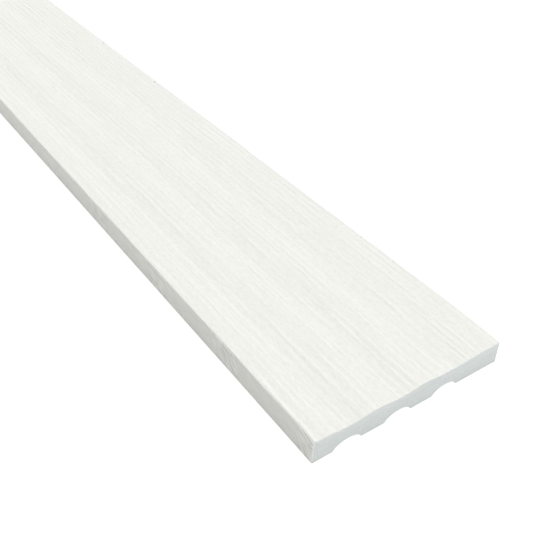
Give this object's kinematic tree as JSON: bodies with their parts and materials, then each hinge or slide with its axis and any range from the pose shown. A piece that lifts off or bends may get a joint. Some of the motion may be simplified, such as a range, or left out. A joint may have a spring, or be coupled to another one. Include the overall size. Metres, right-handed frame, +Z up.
{
  "type": "fibre cement trim board",
  "caption": "Long flat fibre cement trim board with an embossed wood-grain face, eased long edges, square sawn ends and round relief grooves along its back.",
  "frame": {"origin": "middle of the back, halfway along the board and across it, on the plane of the flat lands that it rests on", "axes": "+X along the board, +Y across it towards the wide land of the back, +Z up out of the grained face"},
  "size_m": [3.05, 0.14, 0.016],
  "materials": {
    "primed_fibre_cement": "matte factory primer on embossed fibre cement"
  },
  "bodies": {
    "root": {"trim_board": "primed_fibre_cement"}
  },
  "joints": []
}
